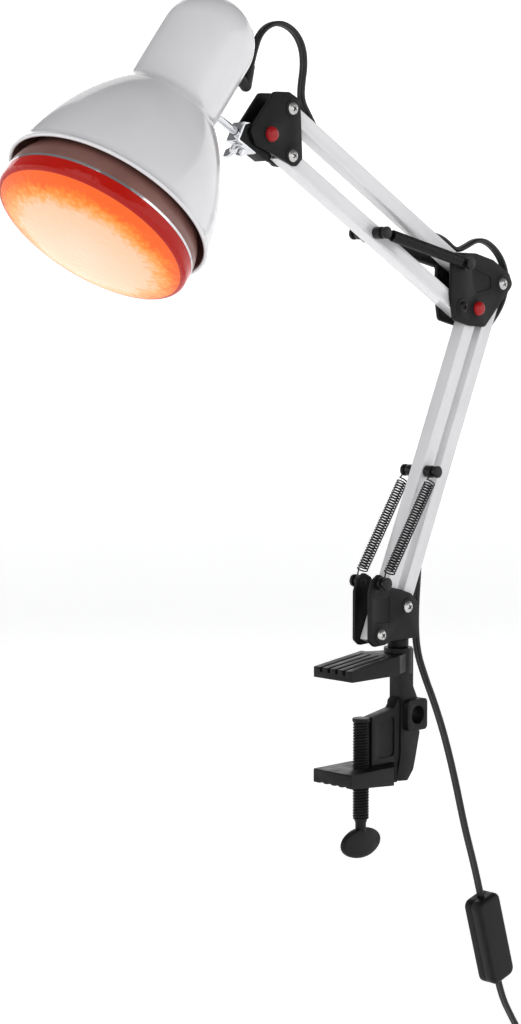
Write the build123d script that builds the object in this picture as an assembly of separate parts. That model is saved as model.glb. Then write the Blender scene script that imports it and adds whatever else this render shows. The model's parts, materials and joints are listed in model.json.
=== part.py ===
from build123d import *
import os
from math import sin, cos, tan, radians, degrees, hypot, pi

# A clamp-on heat lamp: screw clamp, swivel bracket, two parallel-link arms of square tube,
# a tilting head knuckle, and a flared enamel shade with a red reflector lamp.
# Millimetres. Origin: centre of the upper jaw's clamping face. +Z up, the head points to -X.

os.makedirs("parts", exist_ok=True)

# ---------------------------------------------------------------- driving dimensions
JAW_LENGTH, JAW_WIDTH = 48.0, 36.0
JAW_FRONT_THICK, JAW_ROOT_THICK = 7.5, 13.5
JAW_GAP = 63.5                  # between the two jaws
RIB_COUNT = 5                   # ribs along each jaw
RIB_GROOVE, RIB_DEPTH, RIB_END = 2.4, 3.2, 18.0    # the groove between two ribs, and its back end
COLUMN_X = (39.0, 51.5)         # the clamp's upright, front and back
COLUMN_HALF = 5.5
WEB_HALF, WEB_TOP = 4.0, -30.0
STEM_X, STEM_R = 41.5, 6.5      # the arm's swivel pin
STEM_BOTTOM, STEM_TOP = -0.5, 32.0
SOCKET_CENTRE, SOCKET_SIZE = (51.5, -32.0), (20.0, 22.0)
RUNNING_FIT = 0.05              # radial clearance of a turning pin
LOOSE_FIT = 0.4                 # radial clearance at the two open link pivots
SCREW_X, SCREW_R = 4.3, 5.7
SCREW_TOP, SCREW_THREAD_END, SCREW_NECK_END = -32.0, -100.0, -108.0
CAP_THICK = 2.4
KNOB_SIZE = (38.0, 7.0, 21.0)

TUBE, WALL, OVERHANG = 10.5, 1.0, 5.5      # square arm tube, its wall, length past a pivot
PLATE_IN, PLATE_OUT = 5.75, 8.25           # inner and outer face of a bracket plate, from y = 0
PIVOT_R = 2.5
HOLE_R = PIVOT_R + 0.5                     # the tube's own hole round a pivot bolt
FIT_R, OPEN_R = PIVOT_R + RUNNING_FIT, PIVOT_R + LOOSE_FIT
PLUG_LENGTH, SLOT_WIDTH = 12.0, 7.0        # a tube's end block, and the cord's slots
SPRING_Y, SPRING_R, HOOK_GAP = 12.8, 4.2, 1.2    # HOOK_GAP: half the groove for a spring's hook
LOWER_LENGTH, LOWER_LEAN = 245.0, 23.8     # lower arm, degrees from upright
UPPER_LENGTH, UPPER_RISE = 195.4, 30.1     # upper arm, degrees above level
BASE_LINK = (26.8, 17.4)                   # from the front pivot to the rear pivot
HEAD_LINK = (0.0, 30.4)                    # from the lower pivot to the upper pivot
BASE_FRONT = (15.5, 27.5)
ELBOW_STEP = (-16.4, 0.9)                  # from the lower arm's front pivot to the upper arm's
LOWER_SPRING_BAR, UPPER_SPRING_BAR = 121.0, 100.0    # along each arm from its pivot
BASE_SPRING_PIN = (13.4, 63.8)
TILT_STEP = (-19.7, 13.0)                  # from the knuckle's lower pivot to the tilt bolt
SWIVEL_DROP, SWIVEL_RISE = 10.4, 28.0      # swivel axis: distance under the tilt bolt, degrees
SWIVEL_LENGTH = 43.6                       # from under the tilt bolt to the shade's wall
SWIVEL_R = 2.6

SHADE_LEAN = 38.0                          # shade axis, degrees from upright
SHADE_LENGTH, SHADE_WALL = 166.0, 1.0
NECK_R, NECK_START, STEM_HEIGHT = 31.0, 85.0, 105.2
RIM_R, RIM_START = 67.2, 2.0
BEAD_R = 1.3
LAMP_R, LAMP_FACE = 64.0, -18.0            # the lamp's widest ring, below the rim
CORD_R = 2.5
FLOOR_Z = -340.0


# ---------------------------------------------------------------- small helpers
LOW_END = (Align.CENTER, Align.CENTER, Align.MIN)


def across(y_from, y_to, outline):
    """Extrude a sketch drawn in X and Z from one Y to another."""
    return extrude(Plane.XZ.offset(-y_from) * outline, amount=-(y_to - y_from))


def outline(points, corner):
    """A closed sketch through the points, with rounded corners."""
    return make_face(FilletPolyline(*points, radius=corner, close=True))


def pin(centre, y_from, y_to, radius):
    """A round pin along Y."""
    return across(y_from, y_to, Pos(centre[0], centre[1]) * Circle(radius))


def both_sides(make):
    """The same piece on the near and the far side, from make(side) with side -1 and +1."""
    return [make(-1), make(1)]


def lathe(points):
    """Revolve a closed outline of (radius, height) points about Z."""
    return revolve(Plane.XZ * make_face(Polyline(*points, close=True)), axis=Axis.Z)


def step(start, offset):
    return (start[0] + offset[0], start[1] + offset[1])


def along(start, direction, distance, side=0.0):
    """A point at a distance along a direction, and a distance to its left."""
    return (start[0] + direction[0] * distance - direction[1] * side,
            start[1] + direction[1] * distance + direction[0] * side)


def arm_plane(start, direction):
    """Local X along the arm, local Y to its left in the X-Z plane, local Z towards -Y."""
    return Plane(origin=(start[0], 0, start[1]), x_dir=(direction[0], 0, direction[1]),
                 z_dir=(0, -1, 0))


def save(name, *solids):
    shape = Compound(children=list(solids)) if len(solids) > 1 else solids[0]
    export_step(shape, "parts/" + name + ".step")


# ---------------------------------------------------------------- where the pivots are
LOWER_DIR = (sin(radians(LOWER_LEAN)), cos(radians(LOWER_LEAN)))
UPPER_DIR = (-cos(radians(UPPER_RISE)), sin(radians(UPPER_RISE)))
BASE_REAR = step(BASE_FRONT, BASE_LINK)
ELBOW_FRONT = along(BASE_FRONT, LOWER_DIR, LOWER_LENGTH)
ELBOW_REAR = step(ELBOW_FRONT, BASE_LINK)
ELBOW_LOW = step(ELBOW_FRONT, ELBOW_STEP)
ELBOW_HIGH = step(ELBOW_LOW, HEAD_LINK)
HEAD_LOW = along(ELBOW_LOW, UPPER_DIR, UPPER_LENGTH)
HEAD_HIGH = step(HEAD_LOW, HEAD_LINK)
TILT = step(HEAD_LOW, TILT_STEP)
SWIVEL_DIR = (-cos(radians(SWIVEL_RISE)), sin(radians(SWIVEL_RISE)))
SWIVEL_START = along(TILT, SWIVEL_DIR, 0, SWIVEL_DROP)
SHADE_DIR = (sin(radians(SHADE_LEAN)), cos(radians(SHADE_LEAN)))
BACK_DIR = (SHADE_DIR[1], -SHADE_DIR[0])
STEM_WALL = along(SWIVEL_START, SWIVEL_DIR, SWIVEL_LENGTH)
RIM = (STEM_WALL[0] - BACK_DIR[0] * NECK_R - SHADE_DIR[0] * STEM_HEIGHT,
       STEM_WALL[1] - BACK_DIR[1] * NECK_R - SHADE_DIR[1] * STEM_HEIGHT)
SHADE_PLANE = Plane(origin=(RIM[0], 0, RIM[1]), x_dir=(BACK_DIR[0], 0, BACK_DIR[1]),
                    z_dir=(SHADE_DIR[0], 0, SHADE_DIR[1]))
SWIVEL_PLANE = Plane(origin=(SWIVEL_START[0], 0, SWIVEL_START[1]), x_dir=(0, 1, 0),
                     z_dir=(SWIVEL_DIR[0], 0, SWIVEL_DIR[1]))


# ---------------------------------------------------------------- clamp
def clamp_frame():
    front = -JAW_LENGTH / 2
    root = JAW_LENGTH / 2
    half = JAW_WIDTH / 2
    low = -JAW_GAP
    upper = outline([(front, 0), (root, 0), (root, JAW_ROOT_THICK), (front, JAW_FRONT_THICK)], 0.8)
    jaw = across(-half, half, upper)
    pitch = JAW_WIDTH / RIB_COUNT
    slope = degrees((JAW_ROOT_THICK - JAW_FRONT_THICK) / JAW_LENGTH)
    for i in range(1, RIB_COUNT):
        groove = Rot(0, -slope, 0) * Box(RIB_END + root + 4, RIB_GROOVE, 2 * RIB_DEPTH)
        middle = (RIB_END - root - 4) / 2
        height = JAW_FRONT_THICK + (JAW_ROOT_THICK - JAW_FRONT_THICK) * (middle - front) / JAW_LENGTH
        jaw -= Pos(middle, -half + i * pitch, height) * groove
    neck = extrude(make_face(Polyline((root - 1, -half + 1), (COLUMN_X[0] + 4, -8),
                                      (COLUMN_X[0] + 4, 8), (root - 1, half - 1),
                                      close=True)), amount=JAW_ROOT_THICK - 0.6)
    boss = Pos(STEM_X, 0, -2) * Cylinder(10, 18, align=LOW_END)
    column = across(-COLUMN_HALF, COLUMN_HALF, outline(
        [(COLUMN_X[0], low + 4), (COLUMN_X[0] - 4, low - 14), (46, low - 15),
         (52, low - 8), (54, low - 1), (58.5, -46), (COLUMN_X[1] + 4, -20), (COLUMN_X[1], -12),
         (COLUMN_X[1], 15), (COLUMN_X[0], 15)], 1.5))
    web = across(-WEB_HALF, WEB_HALF, outline(
        [(SCREW_X + SCREW_R + 1, low - 2), (SCREW_X + SCREW_R + 1, WEB_TOP), (33, WEB_TOP + 4),
         (COLUMN_X[0] + 2, -16), (COLUMN_X[0] + 2, low - 2)], 1.2))
    pocket = outline([(16, low + 4), (16, WEB_TOP - 4), (34, WEB_TOP - 1), (34, low + 4)], 3)
    for side in (-1, 1):
        web -= across(side * (WEB_HALF - 1.4), side * (WEB_HALF + 1), pocket)
    lower = across(-half, half, outline([(front, low), (root + 8, low), (root + 8, low - 14),
                                         (front, low - 9.5)], 1.0))
    for i in range(1, RIB_COUNT):
        lower -= Pos(front, -half + i * pitch, low - 10.4) * Rot(0, 90, 0) * Cylinder(2.6, 30)
    lower -= Pos(root + 6, half, low - 7) * Rot(0, 0, 45) * Box(16, 16, 40)
    lower -= Pos(root + 6, -half, low - 7) * Rot(0, 0, 45) * Box(16, 16, 40)
    box = across(-10, 10, Pos(*SOCKET_CENTRE) * RectangleRounded(*SOCKET_SIZE, 3))
    frame = jaw + neck + boss + column + web + lower + box
    frame -= Pos(STEM_X, 0, STEM_BOTTOM - 0.3) * Cylinder(STEM_R + RUNNING_FIT, 40, align=LOW_END)
    frame -= pin(SOCKET_CENTRE, -20, 20, STEM_R + RUNNING_FIT)
    frame -= Pos(SCREW_X, 0, low - 8) * Cylinder(SCREW_R + 0.1, 40)
    return frame


def clamp_screw():
    thread = Pos(SCREW_X, 0, SCREW_THREAD_END) * Cylinder(
        SCREW_R, SCREW_TOP - SCREW_THREAD_END, align=LOW_END)
    neck = Pos(SCREW_X, 0, SCREW_NECK_END) * Cylinder(
        3.8, SCREW_THREAD_END - SCREW_NECK_END, align=LOW_END)
    return thread + neck


def clamp_knob():
    flat = Ellipse(KNOB_SIZE[0] / 2, KNOB_SIZE[2] / 2)
    centre_z = SCREW_NECK_END - KNOB_SIZE[2] / 2 + 1.5
    paddle = across(-KNOB_SIZE[1] / 2, KNOB_SIZE[1] / 2, Pos(SCREW_X, centre_z) * flat)
    paddle = fillet(paddle.edges(), 1.5)
    return paddle - Pos(SCREW_X, 0, SCREW_NECK_END + 10) * Cylinder(3.8, 20)


save("clamp_frame", clamp_frame())
save("clamp_screw", clamp_screw())
save("clamp_knob", clamp_knob())
save("screw_tip_cap", Pos(SCREW_X, 0, SCREW_TOP) * Cylinder(
    SCREW_R + 0.4, CAP_THICK, align=LOW_END))


# ---------------------------------------------------------------- swivel bracket at the base
BASE_OUTLINE = [(4, 57.5), (7, 66), (13.4, 70), (20, 66.5), (23, 60.5), (36, 57.5), (46, 54),
                (54, 46), (54, 22.5), (24, 22.5), (20, 20.5), (9, 20), (4, 24)]
CORE_OUTLINE = [(33, 22.6), (53.5, 22.6), (53.5, 34.5), (33, 34.5)]


def base_plate(side):
    plate = across(side * PLATE_IN, side * PLATE_OUT, outline(BASE_OUTLINE, 2.5))
    recess = outline([(8, 54), (8, 36), (24, 36), (24, 54)], 2)
    plate -= across(side * (PLATE_OUT - 0.6), side * (PLATE_OUT + 1), recess)
    for centre in (BASE_FRONT, BASE_REAR):
        plate += across(side * PLATE_OUT, side * (PLATE_OUT + 0.5), Pos(*centre) * Circle(6.2))
        plate -= pin(centre, -20, 20, PIVOT_R)
    return plate - pin(BASE_SPRING_PIN, -20, 20, 2.5)


def spring_pin(centre, side, inner):
    """A spool-shaped stud for one spring end, from the inner distance to past the spring."""
    shank = across(side * inner, side * (SPRING_Y + 3.5), Pos(*centre) * Circle(2.5))
    collar = across(side * (SPRING_Y + HOOK_GAP), side * (SPRING_Y + 3.5), Pos(*centre) * Circle(4.4))
    foot = across(side * (PLATE_OUT + 0.1), side * (SPRING_Y - HOOK_GAP), Pos(*centre) * Circle(4.4))
    return shank + collar + foot


def bolt(centre, head=4.2):
    """A bolt along Y with a low round head on the near side."""
    shank = pin(centre, -PLATE_OUT - 0.5, PLATE_OUT + 3.2, PIVOT_R)
    top = pin(centre, -PLATE_OUT - 2.3, -PLATE_OUT - 0.5, head)
    return shank + top


def nut(centre):
    flat = Pos(*centre) * RegularPolygon(4.3, 6)
    return across(PLATE_OUT + 0.5, PLATE_OUT + 3.7, flat) - pin(centre, 0, 30, PIVOT_R)


save("base_plate_near", base_plate(-1))
save("base_plate_far", base_plate(1))
core = across(-PLATE_IN, PLATE_IN, outline(CORE_OUTLINE, 1.5))
spigot = Pos(STEM_X, 0, 20) * Cylinder(4.5, STEM_TOP - 20, align=LOW_END)
save("base_core", core - spigot)
stem = Pos(STEM_X, 0, STEM_BOTTOM) * Cylinder(STEM_R, 20 - STEM_BOTTOM, align=LOW_END)
collar = Pos(STEM_X, 0, 16.3) * Cylinder(7.4, 5.7, align=LOW_END)
save("base_stem", stem + collar + spigot)
save("base_spring_pins", *both_sides(lambda s: spring_pin(BASE_SPRING_PIN, s, PLATE_IN)))
save("base_bolts", bolt(BASE_FRONT), bolt(BASE_REAR))
save("base_nuts", nut(BASE_FRONT), nut(BASE_REAR))


# ---------------------------------------------------------------- square tubes of the two arms
def square_tube(start, direction, length, holes, slots):
    """A hollow tube past both pivots; slots are (from, to, side) with side +1 its left face."""
    total = length + 2 * OVERHANG
    place = arm_plane(start, direction)
    middle = (Align.CENTER, Align.CENTER, Align.CENTER)
    tube = Pos(length / 2, 0, 0) * (Box(total, TUBE, TUBE, align=middle)
                                    - Box(total + 2, TUBE - 2 * WALL, TUBE - 2 * WALL, align=middle))
    for at, radius in holes:
        tube -= Pos(at, 0, 0) * Cylinder(radius, TUBE + 2)
    for first, last, side in slots:
        tube -= Pos((first + last) / 2, side * TUBE / 2, 0) * Box(last - first, 3 * WALL, SLOT_WIDTH)
    return place * tube


def end_plug(start, direction, at, inward, bore):
    """The moulded bearing block in a tube's end, with a cross bore for the pivot bolt."""
    width = TUBE - 2 * WALL - 0.1
    block = Box(PLUG_LENGTH, width, TUBE - 2 * WALL - 0.1)
    centre = at + inward * (PLUG_LENGTH / 2 - OVERHANG + 0.3)
    block = Pos(centre, 0, 0) * block - Pos(at, 0, 0) * Cylinder(bore, 3 * TUBE)
    return arm_plane(start, direction) * block


REAR_SLOTS = [(26.0, 48.0, -1), (LOWER_LENGTH - 46.0, LOWER_LENGTH - 22.0, -1)]
UPPER_SLOTS = [(20.0, 44.0, -1), (UPPER_LENGTH - 42.0, UPPER_LENGTH - 16.5, -1)]


def arm(name, start, direction, length, slots, far_bore, bar=None):
    holes = [(0, HOLE_R), (length, HOLE_R)]
    if bar:
        holes.append((bar, 2.5))
    save(name + "_tube", square_tube(start, direction, length, holes, slots))
    save(name + "_end_plugs", end_plug(start, direction, 0, 1, FIT_R),
         end_plug(start, direction, length, -1, far_bore))
    if bar:
        centre = along(start, direction, bar)
        rod = pin(centre, -SPRING_Y - 3.5, SPRING_Y + 3.5, 2.5)
        for side in (-1, 1):
            for inner, outer in ((TUBE / 2 + 0.1, SPRING_Y - HOOK_GAP), (SPRING_Y + HOOK_GAP, SPRING_Y + 3.5)):
                rod += across(side * inner, side * outer, Pos(*centre) * Circle(4.2))
        save(name + "_spring_bar", rod)


arm("lower_front", BASE_FRONT, LOWER_DIR, LOWER_LENGTH, [], OPEN_R, LOWER_SPRING_BAR)
arm("lower_rear", BASE_REAR, LOWER_DIR, LOWER_LENGTH, REAR_SLOTS, FIT_R)
arm("upper_lower", ELBOW_LOW, UPPER_DIR, UPPER_LENGTH, [], OPEN_R, UPPER_SPRING_BAR)
arm("upper_upper", ELBOW_HIGH, UPPER_DIR, UPPER_LENGTH, UPPER_SLOTS, FIT_R)


# ---------------------------------------------------------------- elbow
ELBOW_OUTLINE = [(87, 291), (112, 290.5), (131, 286), (148.5, 276.5), (152.5, 268.5),
                 (122, 238.5), (106, 239.5), (89, 243.5), (85.5, 262)]
ELBOW_PIVOTS = (ELBOW_FRONT, ELBOW_REAR, ELBOW_LOW, ELBOW_HIGH)


def elbow_plate(side):
    plate = across(side * PLATE_IN, side * PLATE_OUT, outline(ELBOW_OUTLINE, 4))
    recess = outline([(107, 281), (128, 274), (129, 266), (112, 262.5), (107, 268)], 3)
    plate -= across(side * (PLATE_OUT - 0.7), side * (PLATE_OUT + 1), recess)
    for centre in ELBOW_PIVOTS:
        plate += across(side * PLATE_OUT, side * (PLATE_OUT + 0.5), Pos(*centre) * Circle(6.5))
    for centre in ELBOW_PIVOTS:
        plate -= pin(centre, -20, 20, PIVOT_R)
    return plate


def cap(centre, radius=5.0):
    """A domed snap-on cap over a bolt's head on the near side."""
    face = -PLATE_OUT - 0.5
    body = pin(centre, face - 3.6, face, radius)
    body = fillet(body.edges().group_by(Axis.Y)[0], 2.2)
    return body - pin(centre, face - 1.9, face + 1, 4.25)


def spring_bolt(centre):
    """The elbow's long upper bolt, which also carries the upper springs' ends."""
    rod = pin(centre, -SPRING_Y - 3.5, SPRING_Y + 3.5, PIVOT_R)
    for side in (-1, 1):
        for inner, outer in ((PLATE_OUT + 0.6, SPRING_Y - HOOK_GAP), (SPRING_Y + HOOK_GAP, SPRING_Y + 3.5)):
            rod += across(side * inner, side * outer, Pos(*centre) * Circle(4.2))
    return rod


save("elbow_plate_near", elbow_plate(-1))
save("elbow_plate_far", elbow_plate(1))
save("elbow_bolts", bolt(ELBOW_FRONT), bolt(ELBOW_REAR), bolt(ELBOW_LOW))
save("elbow_nuts", nut(ELBOW_FRONT), nut(ELBOW_REAR), nut(ELBOW_LOW))
save("elbow_spring_bolt", spring_bolt(ELBOW_HIGH))
save("elbow_red_cap", cap(ELBOW_FRONT))


# ---------------------------------------------------------------- head knuckle
KNUCKLE_OUTLINE = [(-64, 387), (-62, 349), (-68, 343.5), (-104, 356), (-109, 365),
                   (-87, 391), (-74, 391.5)]


def knuckle_plate(side):
    plate = across(side * PLATE_IN, side * PLATE_OUT, outline(KNUCKLE_OUTLINE, 3.5))
    for centre in (HEAD_LOW, HEAD_HIGH, TILT):
        plate += across(side * PLATE_OUT, side * (PLATE_OUT + 0.5), Pos(*centre) * Circle(6.2))
    for centre in (HEAD_LOW, HEAD_HIGH, TILT):
        plate -= pin(centre, -20, 20, PIVOT_R)
    return plate


save("knuckle_plate_near", knuckle_plate(-1))
save("knuckle_plate_far", knuckle_plate(1))
save("knuckle_bolts", bolt(HEAD_LOW), bolt(HEAD_HIGH), bolt(TILT))
save("knuckle_nuts", nut(HEAD_LOW), nut(HEAD_HIGH), nut(TILT))
save("knuckle_red_cap", cap(TILT))


# ---------------------------------------------------------------- tilting block and swivel clamp
BLOCK_FRONT = 20.0        # from under the tilt bolt to the block's front face
WING_AT = 16.0
STRAP = 1.2
WING_PLANE = Plane(origin=SWIVEL_PLANE.from_local_coords((0, 0, WING_AT)), x_dir=(0, 1, 0),
                   z_dir=(-SWIVEL_DIR[1], 0, SWIVEL_DIR[0]))


def swivel_point(distance, left):
    return along(SWIVEL_START, SWIVEL_DIR, distance, left)


def tilt_block():
    side = [swivel_point(-8, -8), swivel_point(-8, 5.2), swivel_point(BLOCK_FRONT, 5.2),
            swivel_point(BLOCK_FRONT, -6), swivel_point(12, -9.5)]
    block = across(-PLATE_IN + 0.25, PLATE_IN - 0.25,
                   outline(side, 1.5) + Pos(*TILT) * Circle(7.5))
    block -= pin(TILT, -20, 20, FIT_R)
    block -= SWIVEL_PLANE * Cylinder(SWIVEL_R + RUNNING_FIT, 2 * (BLOCK_FRONT + 5))
    return block - WING_PLANE * Cylinder(2.1, 14, align=LOW_END)


def swivel_strap():
    """A bent chrome strap round the block's front, open for the swivel pin and the wing bolt."""
    inner = [swivel_point(4, 5.3), swivel_point(BLOCK_FRONT + 0.1, 5.3),
             swivel_point(BLOCK_FRONT + 0.1, -6.1), swivel_point(13, -9.2)]
    outer = [swivel_point(13.4, -10.4), swivel_point(BLOCK_FRONT + 0.1 + STRAP, -7),
             swivel_point(BLOCK_FRONT + 0.1 + STRAP, 5.3 + STRAP), swivel_point(4, 5.3 + STRAP)]
    strap = across(-PLATE_IN + 0.25, PLATE_IN - 0.25, make_face(Polyline(*inner, *outer, close=True)))
    strap -= SWIVEL_PLANE * Cylinder(SWIVEL_R + 0.3, 100)
    return strap - WING_PLANE * Cylinder(2.1, 30, align=LOW_END)


def wing_bolt():
    """Local +Z points away from the swivel pin."""
    shank = Pos(0, 0, SWIVEL_R + 0.1) * Cylinder(2.0, 8, align=LOW_END)
    hub = Pos(0, 0, 7.2) * Cylinder(3.4, 5, align=LOW_END)
    wings = across(-0.9, 0.9, outline([(-3, 7.6), (3, 7.6), (8.5, 10), (8.5, 15.5), (4, 15),
                                       (0, 11.5), (-4, 15), (-8.5, 15.5), (-8.5, 10)], 1.1))
    return shank + hub + wings


save("tilt_block", tilt_block())
save("swivel_strap", swivel_strap())
save("wing_bolt", WING_PLANE * wing_bolt())


# ---------------------------------------------------------------- shade, lamp and holder
HOLDER_R, HOLDER_LOW, HOLDER_HIGH = 20.0, 112.0, 150.0
BRACKET_HEIGHT = 133.0
GLAND_HEIGHT, GLAND_OUT, GLAND_TIP = 138.0, 42.0, 14.0
GLAND_DIR = (0.3, 0.954)


def shade_skin(inset):
    """The shade's outside, or its inside when inset is the wall, as edges from the rim up."""
    bell = ThreePointArc((RIM_R - inset, RIM_START), (58 - inset * 0.9, 40 - inset * 0.4),
                         (36.5 - inset * 0.8, 77.5 - inset * 0.6))
    throat = ThreePointArc(bell @ 1, (32.6 - inset, 81.6 - inset * 0.5), (NECK_R - inset, 87))
    dome_start = SHADE_LENGTH - NECK_R
    neck = Line((NECK_R - inset, 87), (NECK_R - inset, dome_start))
    reach = NECK_R - inset
    dome = ThreePointArc(neck @ 1, (reach * cos(pi / 4), dome_start + reach * sin(pi / 4)),
                         (0, dome_start + reach))
    return [bell, throat, neck, dome]


def shade():
    outer, inner = shade_skin(0), shade_skin(SHADE_WALL)
    closing = [Line(outer[0] @ 0, inner[0] @ 0), Line(outer[3] @ 1, inner[3] @ 1)]
    shell = revolve(Plane.XZ * make_face(outer + inner + closing), axis=Axis.Z)
    bead = revolve(Plane.XZ * Pos(RIM_R - 0.3, RIM_START + 1.0) * Circle(BEAD_R), axis=Axis.Z)
    placed = SHADE_PLANE * (shell + bead)
    placed -= SWIVEL_PLANE * Pos(0, 0, 38) * Cylinder(SWIVEL_R + 0.3, 12, align=LOW_END)
    return placed - SHADE_PLANE * (Pos(31, 0, GLAND_HEIGHT) * Rot(0, 90, 0) * Cylinder(4.0, 8))


def lamp_holder():
    body = lathe([(13.9, HOLDER_LOW), (HOLDER_R, HOLDER_LOW), (HOLDER_R, 134.6), (23, 134.6),
                  (23, 138), (HOLDER_R, 138), (HOLDER_R, HOLDER_HIGH), (0, HOLDER_HIGH),
                  (0, 145), (13.9, 145)])
    return SHADE_PLANE * body


def holder_bracket():
    disc = Pos(0, 0, BRACKET_HEIGHT) * Cylinder(28.5, 1.5, align=LOW_END)
    disc -= Pos(0, 0, BRACKET_HEIGHT - 1) * Cylinder(HOLDER_R + 0.1, 4, align=LOW_END)
    tab = Pos(28.35, 0, 98) * Box(1.5, 12, BRACKET_HEIGHT + 1.5 - 98, align=LOW_END)
    placed = SHADE_PLANE * (disc + tab)
    return placed - SWIVEL_PLANE * Pos(0, 0, 38) * Cylinder(SWIVEL_R + 0.3, 20, align=LOW_END)


def swivel_pin():
    rod = Pos(0, 0, 2) * Cylinder(SWIVEL_R, SWIVEL_LENGTH + 8, align=LOW_END)
    flange = Pos(0, 0, SWIVEL_LENGTH - 2.6) * Cylinder(4.6, 1.6, align=LOW_END)
    return SWIVEL_PLANE * (rod + flange)


def swivel_nut():
    flat = Pos(0, 0, SWIVEL_LENGTH + 4.6) * extrude(RegularPolygon(4.6, 6), amount=3)
    return SWIVEL_PLANE * (flat - Cylinder(SWIVEL_R, 200))


def lamp_face():
    crown = LAMP_FACE - 10
    front = ThreePointArc((0, crown), (36, crown + 3.0), (LAMP_R - 2, LAMP_FACE - 2))
    back = ThreePointArc((0, crown + 2.5), (34, crown + 5.3), (LAMP_R - 4.5, LAMP_FACE + 0.5))
    edge = Polyline(front @ 1, (LAMP_R, LAMP_FACE + 0.5), (LAMP_R, -10.5), (LAMP_R - 2.5, -10.5), back @ 1)
    return SHADE_PLANE * revolve(Plane.XZ * make_face([front, edge, back, Line(front @ 0, back @ 0)]),
                                 axis=Axis.Z)


def lamp_reflector():
    outside = [(LAMP_R, -10.4), (61.5, 2), (51, 24), (39, 48), (28.5, 70), (20.5, 90), (17, 103), (17, 110)]
    inside = [(max(r - 1.6, 10.0), h + 0.6) for r, h in outside]
    inside[0] = (LAMP_R - 2, -10.4)
    inside[-1] = (14.5, 110)
    return SHADE_PLANE * lathe(outside + inside[::-1])


def lamp_screw_cap():
    return SHADE_PLANE * lathe([(0, 110.1), (13.3, 110.1), (13.3, 136), (6, 140), (0, 141)])


def cord_gland():
    stub = Rot(0, 90, 0) * Pos(0, 0, 29.2) * Cylinder(3.7, GLAND_OUT - 29.2, align=LOW_END)
    flange = Rot(0, 90, 0) * Pos(0, 0, NECK_R + 0.3) * Cylinder(6.5, 1.5, align=LOW_END)
    placed = SHADE_PLANE * Pos(0, 0, GLAND_HEIGHT) * (stub + flange)
    knee = SHADE_PLANE.from_local_coords((GLAND_OUT, 0, GLAND_HEIGHT))
    spout = Plane(origin=knee, x_dir=(0, 1, 0), z_dir=(GLAND_DIR[0], 0, GLAND_DIR[1]))
    return placed + Pos(*knee) * Sphere(3.9) + spout * Cone(3.9, 3.1, GLAND_TIP, align=LOW_END)


save("shade", shade())
save("lamp_holder", lamp_holder())
save("holder_bracket", holder_bracket())
save("swivel_pin", swivel_pin())
save("swivel_nut", swivel_nut())
save("lamp_face", lamp_face())
save("lamp_reflector", lamp_reflector())
save("lamp_screw_cap", lamp_screw_cap())
save("cord_gland", cord_gland())


# ---------------------------------------------------------------- balance springs, as plain bars
def spring_bodies(name, start, end):
    """Two tubes the size of the coiled springs, between the studs on each side."""
    reach = hypot(end[0] - start[0], end[1] - start[1])
    heading = ((end[0] - start[0]) / reach, (end[1] - start[1]) / reach)
    coils = []
    for side in (-1, 1):
        place = Plane(origin=(start[0], side * SPRING_Y, start[1]), x_dir=(0, 1, 0),
                      z_dir=(heading[0], 0, heading[1]))
        coils.append(place * Pos(0, 0, 8) * Cylinder(SPRING_R, reach - 16, align=LOW_END))
    save(name, *coils)


spring_bodies("lower_springs", BASE_SPRING_PIN, along(BASE_FRONT, LOWER_DIR, LOWER_SPRING_BAR))
spring_bodies("upper_springs", along(ELBOW_LOW, UPPER_DIR, UPPER_SPRING_BAR), ELBOW_HIGH)


# ---------------------------------------------------------------- the cord and what is on it
def route(name, points):
    """A tube along straight runs joined by arcs as large as the runs allow."""
    spots = [Vector(*p) for p in points]
    runs = [b - a for a, b in zip(spots, spots[1:])]
    radii = []
    for before, after in zip(runs, runs[1:]):
        turn = radians(before.get_angle(after))
        radii.append(0.45 * min(before.length, after.length) / tan(turn / 2))
    path = FilletPolyline(*spots, radius=radii) if radii else Line(*spots)
    tube = sweep(Plane(origin=spots[0], z_dir=runs[0]) * Circle(CORD_R), path=path)
    expected = pi * CORD_R ** 2 * path.length
    print("%-16s length %.0f, tightest arc %.0f, volume ratio %.4f"
          % (name, path.length, min(radii, default=0), tube.volume / expected))
    save(name, tube)


def flat(pairs):
    return [(x, 0, z) for x, z in pairs]


SWITCH_CENTRE, SWITCH_DIR = (142.5, -210.7), (0.29, -0.957)
SWITCH_SIZE = (24.6, 16.0, 68.0)
SWITCH_TOP = along(SWITCH_CENTRE, SWITCH_DIR, -SWITCH_SIZE[2] / 2)
SWITCH_END = along(SWITCH_CENTRE, SWITCH_DIR, SWITCH_SIZE[2] / 2)
ROCKER_SIZE, PLUG_PITCH = (10.0, 22.0), 8.5
COIL_CENTRE, COIL_R, COIL_HALF, COIL_HIGH = (225.0, 33.0), 33.0, 8.0, 15.0
PLUG_BACK, PLUG_AXIS = (222.0, -38.0), FLOOR_Z + 5.7
FLOOR_CORD = FLOOR_Z + CORD_R + 0.2
GLAND_END = SHADE_PLANE.from_local_coords((GLAND_OUT, 0, GLAND_HEIGHT))
GLAND_END = along((GLAND_END.X, GLAND_END.Z), GLAND_DIR, GLAND_TIP + 0.3)

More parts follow.
